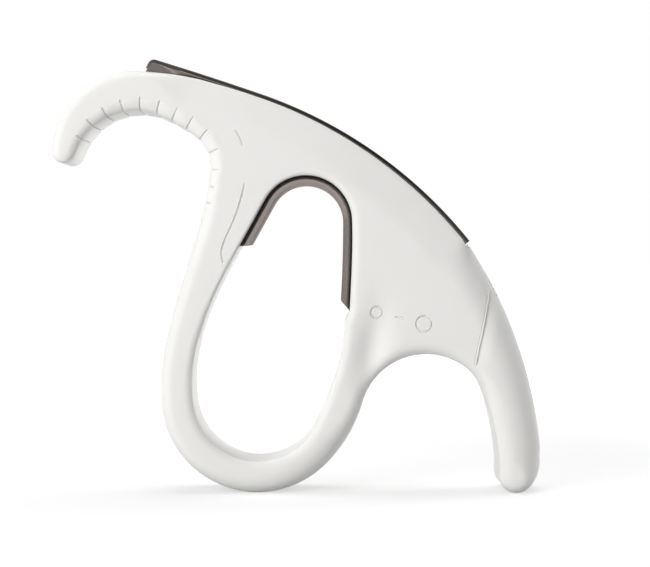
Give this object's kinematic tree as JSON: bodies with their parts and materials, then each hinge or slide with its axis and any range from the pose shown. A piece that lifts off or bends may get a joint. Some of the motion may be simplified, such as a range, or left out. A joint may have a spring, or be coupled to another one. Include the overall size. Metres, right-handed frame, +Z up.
{
  "type": "tube belay device",
  "caption": "Hand-held belay device with a moulded body, a steel rope slot, a large ring for a carabiner, a ribbed finger hook and a thumb hook.",
  "frame": {"origin": "centre of the arc that the steel rim makes over the carabiner, halfway through the thickness", "axes": "+X from the finger hook to the thumb hook, +Y across the thickness away from the viewer, +Z up as the device stands on its ring and thumb hook"},
  "size_m": [0.1204, 0.0208, 0.1066],
  "materials": {
    "white_plastic": "satin moulded",
    "stainless_steel": "tumbled, fine brushed"
  },
  "bodies": {
    "root": {"body": "white_plastic", "rope_guide_near": "stainless_steel", "rope_guide_far": "stainless_steel"}
  },
  "joints": []
}
